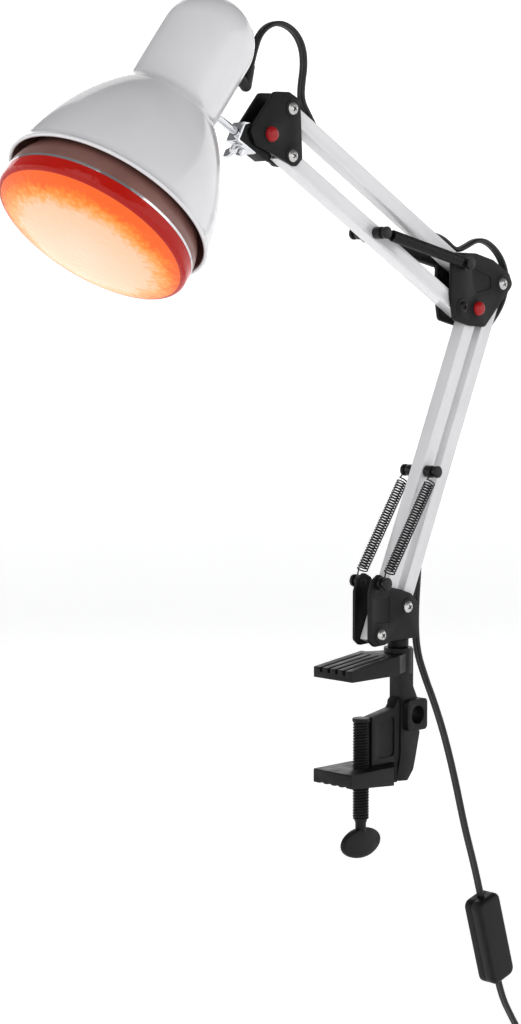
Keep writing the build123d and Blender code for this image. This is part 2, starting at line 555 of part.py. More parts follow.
route("cord_head_loop", flat([GLAND_END, (-98.0, 417.5), (-93.0, 428.0), (-83.5, 434.8), (-72.0, 436.2),
                              (-60.8, 431.5), (-53.8, 422.0), (-52.6, 410.0), (-55.0, 398.0),
                              (-55.5, 387.5), (-48.5, 378.0), (-40.2, 366.6), (-31.3, 357.9)]))
route("cord_upper_run", flat([along(HEAD_HIGH, UPPER_DIR, -48.5), along(ELBOW_HIGH, UPPER_DIR, 54.5)]))
route("cord_elbow_loop", flat([along(ELBOW_HIGH, UPPER_DIR, 52), (62.9, 303.9), (74.6, 303.2),
                               (86.6, 300.0), (98.5, 292.8), (109.5, 295.2), (120.5, 300.2),
                               (132.5, 299.4), (144.5, 292.0), (152.6, 281.0), (154.4, 268.5),
                               (150.6, 257.0), (144.0, 247.8), (136.0, 240.4), (129.0, 231.8),
                               along(ELBOW_REAR, LOWER_DIR, -50)]))
route("cord_lower_run", flat([along(ELBOW_REAR, LOWER_DIR, -53), along(BASE_REAR, LOWER_DIR, 60)]))
route("cord_supply", flat([along(BASE_REAR, LOWER_DIR, 58), (61.3, 87.0), (61.8, 75.0), (60.9, 61.0),
                           (59.6, 45.0), (59.2, 28.0), (61.5, 10.0), (69.5, -8.0), (80.0, -28.0),
                           (91.5, -54.0), (103.0, -87.0), (114.0, -124.0),
                           along(SWITCH_TOP, SWITCH_DIR, -22), SWITCH_TOP]))
route("cord_drop", flat([SWITCH_END, (157.5, -258.5), (167.5, -274.5), (179.0, -291.0), (189.0, -309.0),
                         (200.0, -325.0), (213.0, -335.0)]) + [(226.5, 0, FLOOR_CORD)])
route("cord_tail", [(COIL_CENTRE[0] - COIL_R, 24, FLOOR_CORD), (191.5, 9, FLOOR_CORD),
                    (193.0, -8, FLOOR_CORD), (198.0, -24, FLOOR_CORD), (208.5, -35, FLOOR_CORD),
                    (PLUG_BACK[0], PLUG_BACK[1], PLUG_AXIS)])


def cord_coil():
    ring_body = extrude(Circle(COIL_R + COIL_HALF) - Circle(COIL_R - COIL_HALF), amount=COIL_HIGH)
    ring_body = fillet(ring_body.edges(), 3)
    return Pos(COIL_CENTRE[0], COIL_CENTRE[1], FLOOR_Z + 0.2) * ring_body


def coil_tie():
    """A band once round the coil's section, away from the cord's two ends."""
    outer = Box(2 * COIL_HALF + 2.4, 5, COIL_HIGH + 1.4, align=LOW_END)
    middle = Pos(COIL_CENTRE[0] + COIL_R, COIL_CENTRE[1], FLOOR_Z + 0.2)
    return middle * outer - cord_coil()


SWITCH_PLANE = Plane(origin=(SWITCH_CENTRE[0], 0, SWITCH_CENTRE[1]),
                     x_dir=(-SWITCH_DIR[1], 0, SWITCH_DIR[0]), z_dir=(0, -1, 0))


def switch_shell(side):
    """Half of the in-line switch: side +1 is its plain face, -1 carries the rocker."""
    wide, thick, long = SWITCH_SIZE
    body = extrude(RectangleRounded(wide, long, 6), amount=side * thick / 2)
    rim = body.edges().group_by(Axis.Z)[-1 if side > 0 else 0]
    body = fillet(rim, 3)
    lip = Rot(90, 0, 0) * Cylinder(CORD_R + 0.1, 12)
    for end in (-1, 1):
        body -= Pos(0, end * long / 2, 0) * lip
    inner = extrude(RectangleRounded(wide - 5, long - 16, 4), amount=side * (thick / 2 - 2))
    body -= inner
    if side < 0:
        body -= Pos(0, 0, -thick / 2) * Box(ROCKER_SIZE[0] + 1.0, ROCKER_SIZE[1] + 1.6, 8)
    return SWITCH_PLANE * body


def switch_rocker():
    half = ROCKER_SIZE[1] / 2
    side = make_face(Polyline((-half, -5.0), (half, -5.0), (half, -9.8), (0, -8.4), (-half, -9.0), close=True))
    return SWITCH_PLANE * extrude(Plane.YZ.offset(-ROCKER_SIZE[0] / 2) * side, amount=ROCKER_SIZE[0])


def plug_body():
    """A flat two-pin plug body lying on the floor, its cord end towards -X."""
    shape = outline([(0, -5), (12, -6.5), (30, -7.5), (34, -6), (34, 6), (30, 7.5), (12, 6.5), (0, 5)], 1.5)
    body = extrude(shape, amount=11)
    body = fillet(body.edges().group_by(Axis.Z)[-1], 1.5)
    placed = Pos(PLUG_BACK[0] + 0.2, PLUG_BACK[1], FLOOR_Z + 0.2) * body
    return placed - plug_pin(-1) - plug_pin(1)


def plug_pin(side):
    stub = Rot(0, 90, 0) * Cylinder(2.0, 25, align=LOW_END)
    return Pos(PLUG_BACK[0] + 28, PLUG_BACK[1] + side * PLUG_PITCH / 2, PLUG_AXIS) * stub


save("cord_coil", cord_coil())
save("coil_tie", coil_tie())
save("switch_front_shell", switch_shell(1))
save("switch_back_shell", switch_shell(-1))
save("switch_rocker", switch_rocker())
save("plug_body", plug_body())
save("plug_pins", *both_sides(plug_pin))
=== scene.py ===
import json
from math import atan2, cos, hypot, pi, radians, sin

import bmesh
import bpy
from mathutils import Matrix, Vector


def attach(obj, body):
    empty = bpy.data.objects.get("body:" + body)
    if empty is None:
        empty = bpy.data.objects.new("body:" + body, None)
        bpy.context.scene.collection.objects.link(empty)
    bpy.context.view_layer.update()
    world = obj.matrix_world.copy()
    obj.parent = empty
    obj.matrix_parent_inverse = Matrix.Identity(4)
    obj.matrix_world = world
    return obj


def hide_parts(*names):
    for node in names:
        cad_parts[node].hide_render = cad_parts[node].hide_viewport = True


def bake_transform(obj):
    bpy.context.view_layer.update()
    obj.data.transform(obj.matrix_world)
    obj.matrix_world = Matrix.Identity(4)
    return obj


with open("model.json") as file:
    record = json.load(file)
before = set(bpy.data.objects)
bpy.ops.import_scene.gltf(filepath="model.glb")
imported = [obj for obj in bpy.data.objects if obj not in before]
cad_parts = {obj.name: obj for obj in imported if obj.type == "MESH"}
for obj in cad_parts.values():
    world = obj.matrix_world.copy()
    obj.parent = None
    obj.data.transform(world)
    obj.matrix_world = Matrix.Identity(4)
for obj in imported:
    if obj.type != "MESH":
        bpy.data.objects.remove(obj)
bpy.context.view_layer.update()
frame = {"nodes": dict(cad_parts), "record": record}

# ---------------------------------------------------------------- driving dimensions
MM = 0.001
PLATE_OUT, PIVOT_R = 8.25, 2.5
SPRING_Y, SPRING_COIL_R, SPRING_WIRE_R = 12.8, 3.65, 0.55
LOWER_LENGTH, LOWER_LEAN = 245.0, radians(23.8)
UPPER_LENGTH, UPPER_RISE = 195.4, radians(30.1)
BASE_LINK, HEAD_LINK = (26.8, 17.4), (0.0, 30.4)
BASE_FRONT, ELBOW_STEP, TILT_STEP = (15.5, 27.5), (-16.4, 0.9), (-19.7, 13.0)
BASE_SPRING_PIN = (13.4, 63.8)
LOWER_SPRING_BAR, UPPER_SPRING_BAR = 121.0, 100.0
SWIVEL_DROP, SWIVEL_RISE, SWIVEL_LENGTH = 10.4, radians(28.0), 43.6
SHADE_LEAN, SHADE_LENGTH, NECK_R, STEM_HEIGHT = radians(38.0), 166.0, 31.0, 105.2
SHADE_WALL, RIM_R, RIM_START, BEAD_R = 1.0, 67.2, 2.0, 1.3
SHOULDER, THROAT_FOOT, THROAT_MIDDLE, NECK_START = (58.0, 40.0), (36.5, 77.5), (32.6, 81.6), 87.0
BOLT_REACH = PLATE_OUT + 3.2
SCREW_X, SCREW_R, THREAD_PITCH = 4.3, 5.7, 2.0
SCREW_TOP, THREAD_END, NECK_END = -32.0, -100.0, -108.0
KNOB_SIZE = (38.0, 7.0, 21.0)
FLOOR_Z = -340.0
CORD_WIDE, CORD_THICK = 6.0, 3.5
GLAND_HEIGHT, GLAND_OUT, GLAND_TIP, GLAND_DIR = 138.0, 42.0, 14.0, (0.3, 0.954)
SWITCH_CENTRE, SWITCH_DIR, SWITCH_LONG = (142.5, -210.7), (0.29, -0.957), 68.0
COIL_CENTRE, COIL_MEAN_R = (225.0, 33.0), 33.0
PLUG_BACK, PLUG_AXIS = (222.0, -38.0), FLOOR_Z + 5.7


def step(start, offset):
    return (start[0] + offset[0], start[1] + offset[1])


def along(start, direction, distance, left=0.0):
    """A point in X and Z at a distance along a direction, and a distance to its left."""
    return (start[0] + direction[0] * distance - direction[1] * left,
            start[1] + direction[1] * distance + direction[0] * left)


LOWER_DIR = (sin(LOWER_LEAN), cos(LOWER_LEAN))
UPPER_DIR = (-cos(UPPER_RISE), sin(UPPER_RISE))
BASE_REAR = step(BASE_FRONT, BASE_LINK)
ELBOW_FRONT = along(BASE_FRONT, LOWER_DIR, LOWER_LENGTH)
ELBOW_REAR = step(ELBOW_FRONT, BASE_LINK)
ELBOW_LOW = step(ELBOW_FRONT, ELBOW_STEP)
ELBOW_HIGH = step(ELBOW_LOW, HEAD_LINK)
HEAD_LOW = along(ELBOW_LOW, UPPER_DIR, UPPER_LENGTH)
HEAD_HIGH = step(HEAD_LOW, HEAD_LINK)
TILT = step(HEAD_LOW, TILT_STEP)
SWIVEL_DIR = (-cos(SWIVEL_RISE), sin(SWIVEL_RISE))
SWIVEL_START = along(TILT, SWIVEL_DIR, 0, SWIVEL_DROP)
SHADE_DIR = (sin(SHADE_LEAN), cos(SHADE_LEAN))
BACK_DIR = (SHADE_DIR[1], -SHADE_DIR[0])
STEM_WALL = along(SWIVEL_START, SWIVEL_DIR, SWIVEL_LENGTH)
RIM = (STEM_WALL[0] - BACK_DIR[0] * NECK_R - SHADE_DIR[0] * STEM_HEIGHT,
       STEM_WALL[1] - BACK_DIR[1] * NECK_R - SHADE_DIR[1] * STEM_HEIGHT)


def place(x, y, z):
    return Vector((x, y, z)) * MM


def flat_place(spot, y=0.0):
    """A point given in X and Z."""
    return place(spot[0], y, spot[1])


def matrix(origin, x_axis, y_axis, z_axis):
    """A 4 by 4 matrix from millimetres in a local frame to metres in the object's frame."""
    turn = Matrix((x_axis, y_axis, z_axis)).transposed().to_4x4()
    return Matrix.Translation(Vector(origin) * MM) @ turn @ Matrix.Scale(MM, 4)


SHADE_FRAME = matrix((RIM[0], 0, RIM[1]), (BACK_DIR[0], 0, BACK_DIR[1]), (0, 1, 0),
                     (SHADE_DIR[0], 0, SHADE_DIR[1]))


# ---------------------------------------------------------------- materials
def new_material(name):
    material = bpy.data.materials.new(name)
    material.use_nodes = True
    return material, material.node_tree.nodes, material.node_tree.links


def add_noise(nodes, links, spot, scale, detail):
    noise = nodes.new("ShaderNodeTexNoise")
    noise.inputs["Scale"].default_value = scale
    noise.inputs["Detail"].default_value = detail
    links.new(spot.outputs["Object"], noise.inputs["Vector"])
    return noise


def add_bump(nodes, links, height, strength, distance):
    """Raises the surface by a height output, on the material's shader."""
    bump = nodes.new("ShaderNodeBump")
    bump.inputs["Strength"].default_value = strength
    bump.inputs["Distance"].default_value = distance
    links.new(height, bump.inputs["Height"])
    links.new(bump.outputs["Normal"], nodes["Principled BSDF"].inputs["Normal"])


def add_share(nodes, links, value, factor, base):
    """A value times a factor, added to a base."""
    share = nodes.new("ShaderNodeMath")
    share.operation = "MULTIPLY_ADD"
    share.inputs[1].default_value = factor
    links.new(value, share.inputs[0])
    links.new(base, share.inputs[2])
    return share


def textured(name, dark, light, rough, metallic=0.0, patch=60.0, grain=900.0, depth=0.02, coat=0.0,
             sheen=0.0, specular=0.5):
    """Colour that drifts between two shades, uneven roughness and a fine raised grain."""
    material, nodes, links = new_material(name)
    shader = nodes["Principled BSDF"]
    shader.inputs["Metallic"].default_value = metallic
    shader.inputs["Coat Weight"].default_value = coat
    shader.inputs["Coat Roughness"].default_value = 0.06
    shader.inputs["Sheen Weight"].default_value = sheen
    shader.inputs["Specular IOR Level"].default_value = specular
    spot = nodes.new("ShaderNodeTexCoord")
    drift = add_noise(nodes, links, spot, patch, 5)
    shades = nodes.new("ShaderNodeValToRGB")
    shades.color_ramp.elements[0].position = 0.3
    shades.color_ramp.elements[0].color = (*dark, 1)
    shades.color_ramp.elements[1].position = 0.7
    shades.color_ramp.elements[1].color = (*light, 1)
    links.new(drift.outputs["Fac"], shades.inputs["Fac"])
    links.new(shades.outputs["Color"], shader.inputs["Base Color"])
    fine = add_noise(nodes, links, spot, grain, 3)
    uneven = nodes.new("ShaderNodeMapRange")
    uneven.inputs["From Min"].default_value = 0.3
    uneven.inputs["From Max"].default_value = 0.7
    uneven.inputs["To Min"].default_value = rough[0]
    uneven.inputs["To Max"].default_value = rough[1]
    links.new(drift.outputs["Fac"], uneven.inputs["Value"])
    links.new(uneven.outputs["Result"], shader.inputs["Roughness"])
    add_bump(nodes, links, fine.outputs["Fac"], depth, 0.0004)
    return material


def glowing_glass(name, hot_spot, reach, stops, strength):
    """Lit red-stained glass: the colour changes with the distance from the hot patch."""
    material, nodes, links = new_material(name)
    shader = nodes["Principled BSDF"]
    shader.inputs["Base Color"].default_value = (0.05, 0.004, 0.002, 1)
    shader.inputs["Roughness"].default_value = 0.16
    shader.inputs["Specular IOR Level"].default_value = 0.22
    shader.inputs["Coat Weight"].default_value = 0.08
    shader.inputs["Coat Roughness"].default_value = 0.05
    shader.inputs["Emission Strength"].default_value = strength
    spot = nodes.new("ShaderNodeTexCoord")
    away = nodes.new("ShaderNodeVectorMath")
    away.operation = "DISTANCE"
    away.inputs[1].default_value = hot_spot
    links.new(spot.outputs["Object"], away.inputs[0])
    share = nodes.new("ShaderNodeMath")
    share.operation = "DIVIDE"
    share.inputs[1].default_value = reach
    links.new(away.outputs["Value"], share.inputs[0])
    dimples = nodes.new("ShaderNodeTexVoronoi")
    dimples.feature = "SMOOTH_F1"
    dimples.inputs["Scale"].default_value = 330
    links.new(spot.outputs["Object"], dimples.inputs["Vector"])
    mottle = add_noise(nodes, links, spot, 70, 4)
    stray = add_share(nodes, links, mottle.outputs["Fac"], 0.14, share.outputs["Value"])
    speckle = add_share(nodes, links, dimples.outputs["Distance"], 0.13, stray.outputs["Value"])
    glow = nodes.new("ShaderNodeValToRGB")
    ramp = glow.color_ramp
    ramp.elements[0].position, ramp.elements[0].color = stops[0][0], (*stops[0][1], 1)
    ramp.elements[1].position, ramp.elements[1].color = stops[-1][0], (*stops[-1][1], 1)
    for at, colour in stops[1:-1]:
        ramp.elements.new(at).color = (*colour, 1)
    links.new(speckle.outputs["Value"], glow.inputs["Fac"])
    links.new(glow.outputs["Color"], shader.inputs["Emission Color"])
    add_bump(nodes, links, dimples.outputs["Distance"], 0.30, 0.0007)
    return material


HOT_SPOT = SHADE_FRAME @ Vector((6.0, 7.0, -27.0))
FACE_GLOW = [(0.10, (1.0, 0.74, 0.54)), (0.74, (1.0, 0.63, 0.40)), (0.84, (1.0, 0.42, 0.10)),
             (0.92, (1.0, 0.25, 0.012)), (1.0, (1.0, 0.13, 0.004))]
RING_GLOW = [(0.2, (0.55, 0.006, 0.002)), (0.9, (0.36, 0.003, 0.001))]
MATERIALS = {
    "white_enamel": textured("white_enamel_look", (0.76, 0.755, 0.77), (0.81, 0.805, 0.82), (0.14, 0.24),
                             patch=25, grain=350, depth=0.03, coat=0.5),
    "black_plastic": textured("black_plastic_look", (0.0035, 0.0035, 0.0037), (0.0075, 0.0075, 0.008),
                              (0.34, 0.52), patch=90, grain=2600, depth=0.10, specular=0.20),
    "red_plastic": textured("red_plastic_look", (0.32, 0.001, 0.004), (0.42, 0.002, 0.006), (0.22, 0.34),
                            patch=80, grain=800, depth=0.03, coat=0.12, specular=0.35),
    "chrome": textured("chrome_look", (0.74, 0.75, 0.77), (0.84, 0.85, 0.87), (0.05, 0.14), metallic=1.0,
                       patch=120, grain=600, depth=0.02),
    "zinc_steel": textured("zinc_steel_look", (0.52, 0.52, 0.52), (0.70, 0.69, 0.66), (0.20, 0.36),
                           metallic=1.0, patch=260, grain=1500, depth=0.05),
    "black_steel": textured("black_steel_look", (0.004, 0.004, 0.0045), (0.012, 0.012, 0.013), (0.24, 0.42),
                            metallic=0.3, specular=0.4, patch=300, grain=1500, depth=0.06),
    "silvered_glass": textured("silvered_glass_look", (0.70, 0.70, 0.72), (0.82, 0.82, 0.84), (0.06, 0.16),
                               metallic=1.0, patch=60, grain=200, depth=0.05),
    "ceramic": textured("ceramic_look", (0.78, 0.75, 0.69), (0.86, 0.84, 0.79), (0.18, 0.32), patch=50,
                        grain=500, depth=0.05, coat=0.4),
    "brass": textured("brass_look", (0.55, 0.40, 0.17), (0.72, 0.56, 0.28), (0.18, 0.34), metallic=1.0,
                      patch=200, grain=1200, depth=0.05),
    "nylon": textured("nylon_look", (0.030, 0.030, 0.031), (0.050, 0.050, 0.052), (0.42, 0.60), patch=120,
                      grain=2000, depth=0.08),
    "cord_rubber": textured("cord_rubber_look", (0.004, 0.004, 0.0045), (0.010, 0.010, 0.0105), (0.32, 0.50),
                            patch=150, grain=1800, depth=0.12, sheen=0.03, specular=0.38),
    "red_glass": glowing_glass("red_glass_look", HOT_SPOT, 70.0 * MM, FACE_GLOW, 0.96),
}
RED_RING = glowing_glass("red_ring_look", HOT_SPOT, 120.0 * MM, RING_GLOW, 0.9)
# Brown on the silvered bulb's back: a painted reflection of the shade's dark inside, not the glass's own
# colour.
BULB_BACK_PAINTED_REFLECTION = textured("bulb_back_painted_reflection_look", (0.20, 0.088, 0.074), (0.26, 0.12, 0.10), (0.30, 0.42), patch=45,
                     grain=300, depth=0.04, coat=0.1)
# Reddish brown on the shade's inside: painted shade, tinted by painted red light from the lamp.
SHADE_INSIDE_PAINTED_SHADE = textured("shade_inside_painted_shade_look", (0.34, 0.17, 0.14), (0.42, 0.22, 0.18), (0.30, 0.48),
                        patch=40, grain=400, depth=0.05)

SLOTS = {row["node"]: row["material_slot"] for row in frame["record"]["subparts"]}
BODY_OF = {node: body for body, nodes in frame["record"]["behaviour"]["bodies"].items() for node in nodes}


# ---------------------------------------------------------------- mesh helpers
def linked(name, data):
    """A new object in the scene."""
    thing = bpy.data.objects.new(name, data)
    bpy.context.scene.collection.objects.link(thing)
    return thing


def add_object(name, mesh, slot, material=None):
    piece = linked(name, mesh)
    if not mesh.materials:
        mesh.materials.append(material or MATERIALS[slot])
    return piece


def mesh_from(name, corners, faces, sharp=None):
    mesh = bpy.data.meshes.new(name)
    mesh.from_pydata([tuple(c) for c in corners], [], faces)
    mesh.validate()
    tidy_normals(mesh)
    smooth(mesh, sharp)
    return mesh


def tidy_normals(mesh):
    shape = bmesh.new()
    shape.from_mesh(mesh)
    bmesh.ops.recalc_face_normals(shape, faces=shape.faces)
    shape.to_mesh(mesh)
    shape.free()


def smooth(mesh, sharp=None):
    """Smooth shading, with edges over an angle in degrees kept sharp."""
    mesh.shade_smooth()
    if sharp:
        mesh.set_sharp_from_angle(angle=radians(sharp))


def grid_faces(rows, columns):
    """Quads between rows of points, stored row by row, where each row is a closed ring."""
    faces = []
    for low in range(0, (rows - 1) * columns, columns):
        for j in range(columns):
            right = (j + 1) % columns
            faces.append((low + j, low + right, low + columns + right, low + columns + j))
    return faces


def lathe(name, profile, where, segments=96, closed=True, sharp=40):
    """Turns (radius, height) points about the local Z axis; points on the axis become poles."""
    corners, rows = [], []
    for radius, height in profile:
        if radius < 1e-6:
            rows.append([len(corners)] * segments)
            corners.append(where @ Vector((0, 0, height)))
            continue
        rows.append(list(range(len(corners), len(corners) + segments)))
        corners += [where @ Vector((radius * cos(2 * pi * k / segments), radius * sin(2 * pi * k / segments),
                                    height)) for k in range(segments)]
    faces = []
    pairs = list(zip(rows, rows[1:]))
    if closed and profile[0][0] > 1e-6:
        pairs.append((rows[-1], rows[0]))
    for low, high in pairs:
        for k in range(segments):
            ring = [low[k], low[(k + 1) % segments], high[(k + 1) % segments], high[k]]
            face = [c for i, c in enumerate(ring) if c not in ring[:i]]
            if len(face) > 2:
                faces.append(face)
    return mesh_from(name, corners, faces, sharp)


def arc_through(a, b, c, count):
    """Points on the circle arc from a through b to c."""
    d = 2 * (a[0] * (b[1] - c[1]) + b[0] * (c[1] - a[1]) + c[0] * (a[1] - b[1]))
    ux = ((a[0] ** 2 + a[1] ** 2) * (b[1] - c[1]) + (b[0] ** 2 + b[1] ** 2) * (c[1] - a[1])
          + (c[0] ** 2 + c[1] ** 2) * (a[1] - b[1])) / d
    uy = ((a[0] ** 2 + a[1] ** 2) * (c[0] - b[0]) + (b[0] ** 2 + b[1] ** 2) * (a[0] - c[0])
          + (c[0] ** 2 + c[1] ** 2) * (b[0] - a[0])) / d
    radius = hypot(a[0] - ux, a[1] - uy)
    start = atan2(a[1] - uy, a[0] - ux)

    def turn_to(point):
        return (atan2(point[1] - uy, point[0] - ux) - start) % (2 * pi)
    span = turn_to(c)
    if turn_to(b) > span:
        span -= 2 * pi
    return [(ux + radius * cos(start + span * k / count), uy + radius * sin(start + span * k / count))
            for k in range(count + 1)]


def nurbs_line(points):
    """Points along the order-3 NURBS spline that has these control points."""
    curve = bpy.data.curves.new("guide", "CURVE")
    curve.dimensions = "3D"
    spline = curve.splines.new("NURBS")
    spline.points.add(len(points) - 1)
    for spot, co in zip(spline.points, points):
        spot.co = (*co, 1)
    spline.order_u = 3
    spline.use_endpoint_u = True
    spline.resolution_u = 6
    guide = linked("guide", curve)
    mesh = bpy.data.meshes.new_from_object(guide)
    line = [v.co.copy() for v in mesh.vertices]
    bpy.data.objects.remove(guide)
    bpy.data.meshes.remove(mesh)
    return line


def tangents(line):
    last = len(line) - 1
    return [(line[min(i + 1, last)] - line[max(i - 1, 0)]).normalized() for i in range(len(line))]


def swept(name, line, section, wide_way):
    """A closed tube of (wide, thick) section points, in metres; wide_way(i) is the way of its width."""
    corners = []
    for i, (spot, ahead) in enumerate(zip(line, tangents(line))):
        wide = wide_way(i)
        wide = (wide - ahead * wide.dot(ahead)).normalized()
        thick = ahead.cross(wide)
        corners += [spot + wide * u + thick * v for u, v in section]
    count = len(section)
    faces = grid_faces(len(line), count)
    faces += [tuple(range(count)), tuple(range(len(corners) - count, len(corners)))]
    return mesh_from(name, corners, faces, 50)


def softened(node, width):
    """A CAD node's own shape with its hard edges rounded; it replaces the node."""
    mesh = frame["nodes"][node].data.copy()
    mesh.materials.clear()
    shape = bmesh.new()
    shape.from_mesh(mesh)
    bmesh.ops.remove_doubles(shape, verts=shape.verts, dist=2e-6)
    bmesh.ops.dissolve_limit(shape, angle_limit=radians(0.5), verts=shape.verts, edges=shape.edges)
    edges = [e for e in shape.edges if e.is_manifold and e.calc_face_angle(0) > radians(30)]
    bmesh.ops.bevel(shape, geom=edges, offset=width * MM, offset_type="OFFSET", segments=2,
                    profile=0.5, affect="EDGES", clamp_overlap=True)
    bmesh.ops.triangulate(shape, faces=[f for f in shape.faces if len(f.verts) > 4])
    shape.to_mesh(mesh)
    shape.free()
    if mesh.has_custom_normals:
        mesh.normals_split_custom_set([(0, 0, 0)] * len(mesh.loops))
    smooth(mesh, 35)
    piece = add_object(node + "_soft", mesh, SLOTS[node])
    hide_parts(node)
    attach(piece, BODY_OF[node])
    return piece


# ---------------------------------------------------------------- camera
def add_camera():
    """Stands 1.6 m away, at 46 degrees from +X, and looks 5 degrees down."""
    data = bpy.data.cameras.new("camera")
    data.sensor_width = 36.0
    data.lens = 80.86
    data.clip_end = 50
    camera = linked("camera", data)
    camera.location = (-1.1345, -1.0794, 0.2541)
    camera.rotation_euler = (radians(84.857), 0, radians(-44.0))
    bpy.context.scene.camera = camera


add_camera()


# ---------------------------------------------------------------- cords
def flat_section():
    """The outline of a flat two-core cord: two round lobes with a groove between them."""
    lobe = CORD_THICK / 2
    middle = (CORD_WIDE - CORD_THICK) / 2
    right = [(middle + lobe * cos(a), lobe * sin(a)) for a in (radians(-126 + 28 * k) for k in range(10))]
    left = [(-u, -v) for u, v in right]
    return [(u * MM, v * MM) for u, v in right + left]


FLAT_SECTION = flat_section()
ACROSS = Vector((0, 1, 0))
UPRIGHT = Vector((0, 0, 1))


def cut_at(line, spot):
    """The line in two at its point nearest to a spot, which both parts keep."""
    near = min(range(len(line)), key=lambda i: (line[i] - spot).length)
    return line[:near + 1], line[near:]


def cord_piece(name, line, wide_way=lambda i: ACROSS):
    return add_object(name, swept(name, line, FLAT_SECTION, wide_way), "cord_rubber")


def blended_cord(node, route, cuts, bodies):
    """A cord that crosses several joints, cut into parts: one part for each pair of bodies."""
    rest = nurbs_line(route)
    for number, (near_body, far_body) in enumerate(bodies):
        if number < len(cuts):
            part, rest = cut_at(rest, cuts[number])
        else:
            part = rest
        piece = cord_piece("%s_part_%d" % (node, number + 1), part)
        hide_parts(node)
        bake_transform(piece)


gland_knee = SHADE_FRAME @ Vector((GLAND_OUT, 0, GLAND_HEIGHT)) / MM
GLAND_END = along((gland_knee.x, gland_knee.z), GLAND_DIR, GLAND_TIP - 1.0)
HEAD_ROUTE = [GLAND_END, (-98.0, 417.5), (-93.0, 428.0), (-83.5, 434.8), (-72.0, 436.2), (-60.8, 431.5),
              (-53.8, 422.0), (-52.6, 410.0), (-55.0, 398.0), (-55.5, 387.5), (-48.5, 378.0),
              (-40.2, 366.6), (-31.3, 357.9)]
ELBOW_ROUTE = [along(ELBOW_HIGH, UPPER_DIR, 52), (62.9, 303.9), (74.6, 303.2), (86.6, 300.0),
               (98.5, 291.8), (109.5, 295.2), (120.5, 300.2), (132.5, 299.4), (144.5, 292.0),
               (152.6, 281.0), (154.4, 268.5), (150.6, 257.0), (144.0, 247.8), (136.0, 240.4),
               (129.0, 231.8), along(ELBOW_REAR, LOWER_DIR, -50)]
SWITCH_TOP = along(SWITCH_CENTRE, SWITCH_DIR, -SWITCH_LONG / 2)
SWITCH_END = along(SWITCH_CENTRE, SWITCH_DIR, SWITCH_LONG / 2)
SUPPLY_ROUTE = [along(BASE_REAR, LOWER_DIR, 58), (61.3, 87.0), (61.8, 75.0), (60.9, 61.0), (59.6, 45.0),
                (59.2, 28.0), (61.5, 10.0), (69.5, -8.0), (80.0, -28.0), (91.5, -54.0), (103.0, -87.0),
                (114.0, -124.0), along(SWITCH_TOP, SWITCH_DIR, -22), SWITCH_TOP]
blended_cord("cord_head_loop", [flat_place(p) for p in HEAD_ROUTE],
             [flat_place((-78.0, 435.0)), flat_place((-54.0, 404.0))],
             [("head", "tilt"), ("tilt", "knuckle"), ("knuckle", "upper_upper")])
blended_cord("cord_elbow_loop", [flat_place(p) for p in ELBOW_ROUTE], [flat_place((118.0, 298.0))],
             [("upper_upper", "elbow"), ("elbow", "lower_rear")])
blended_cord("cord_supply", [flat_place(p) for p in SUPPLY_ROUTE], [flat_place((60.0, 28.0))],
             [("lower_rear", "arm_base"), ("arm_base", "clamp")])


def put_away_lead():
    """From the switch down to the floor, round the coil, and to the plug."""
    fall = [flat_place(p) for p in (SWITCH_END, (157.5, -258.5), (167.5, -274.5), (179.0, -291.0),
                                    (189.0, -308.0), (199.0, -320.0), (211.0, -328.0))]
    turns, per_turn = 7.70, 16
    top, bottom, spacing = FLOOR_Z + 9.5, FLOOR_Z + 3.2, 3.7
    outer = COIL_MEAN_R + 1.5 * spacing
    coil = []
    for k in range(int(turns * per_turn) + 1):
        t = k / per_turn
        turned = radians(-82) + 2 * pi * t
        radius = outer - spacing * min(t, 3.0) + spacing * max(0.0, t - 4.7)
        drop = min(max((t - 3.3) / 0.8, 0.0), 1.0)
        height = top + (bottom - top) * drop * drop * (3 - 2 * drop)
        coil.append(place(COIL_CENTRE[0] + radius * cos(turned), COIL_CENTRE[1] + radius * sin(turned),
                          height))
    tail = [place(190.0, 10.0, FLOOR_Z + 3.2), place(191.5, -8.0, FLOOR_Z + 3.1),
            place(198.0, -24.0, FLOOR_Z + 3.0), place(208.5, -35.0, FLOOR_Z + 3.6),
            place(PLUG_BACK[0] + 1.0, PLUG_BACK[1], PLUG_AXIS)]
    line = nurbs_line(fall + coil + tail)
    first = min(range(len(line)), key=lambda i: (line[i] - fall[-2]).length)
    last = min(range(len(line)), key=lambda i: (line[i] - tail[1]).length)

    def wide_way(i):
        """Flat across at both ends, on edge in the coil."""
        if i < first + 30:
            share = max(0.0, (i - first) / 30)
        else:
            share = max(0.0, 1 - max(0.0, (i - last) / (len(line) - 1 - last)))
        lean = share * pi / 2
        return ACROSS * cos(lean) + UPRIGHT * sin(lean)
    piece = cord_piece("put_away_lead", line, wide_way)
    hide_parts("cord_drop", "cord_coil", "cord_tail")
    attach(piece, "clamp")
    ends = [softened("plug_body", 0.5), softened("coil_tie", 0.5), "plug_pins"]


put_away_lead()


# ---------------------------------------------------------------- shade and lamp
def shade_profile(inset):
    """The bell, throat, neck and dome, from the rim up, as (radius, height) points."""
    reach = NECK_R - inset
    bell = arc_through((RIM_R - inset, RIM_START), (SHOULDER[0] - inset * 0.9, SHOULDER[1] - inset * 0.4),
                       (THROAT_FOOT[0] - inset * 0.8, THROAT_FOOT[1] - inset * 0.6), 26)
    throat = arc_through(bell[-1], (THROAT_MIDDLE[0] - inset, THROAT_MIDDLE[1] - inset * 0.5),
                         (reach, NECK_START), 8)
    dome_start = SHADE_LENGTH - NECK_R
    neck = [(reach, NECK_START + (dome_start - NECK_START) * k / 5) for k in range(1, 5)]
    dome = [(reach * cos(a), dome_start + reach * sin(a)) for a in (pi / 2 * k / 18 for k in range(18))]
    return bell[1:] + throat[1:] + neck + dome + [(0.0, dome_start + reach)]


